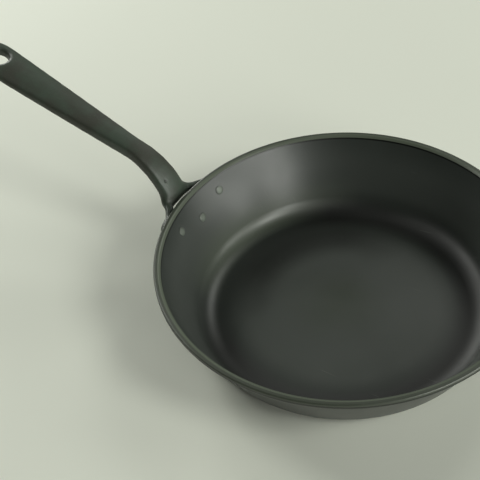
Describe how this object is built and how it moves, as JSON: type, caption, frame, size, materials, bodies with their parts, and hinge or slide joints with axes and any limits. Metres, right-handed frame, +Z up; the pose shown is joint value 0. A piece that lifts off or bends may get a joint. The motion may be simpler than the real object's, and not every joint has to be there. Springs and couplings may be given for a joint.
{
  "type": "frying pan",
  "caption": "Deep round frying pan with a flared wall, a thick rim and a long riveted handle that rises steeply and ends in a hanging hole.",
  "frame": {"origin": "middle of the pan's flat underside, where it rests", "axes": "+X runs out level along the handle, +Z points up out of the pan, +Y to the left of someone looking out along the handle"},
  "size_m": [0.471, 0.28, 0.1493],
  "materials": {
    "pan_steel": "blackened by heat and oil, satin, smooth",
    "handle_casting": "blackened casting, satin, slightly uneven",
    "rivet_steel": "blackened, worn a little paler than the pan"
  },
  "bodies": {
    "root": {"pan_body": "pan_steel", "handle": "handle_casting", "rivet_left": "rivet_steel", "rivet_low": "rivet_steel", "rivet_right": "rivet_steel"}
  },
  "joints": []
}
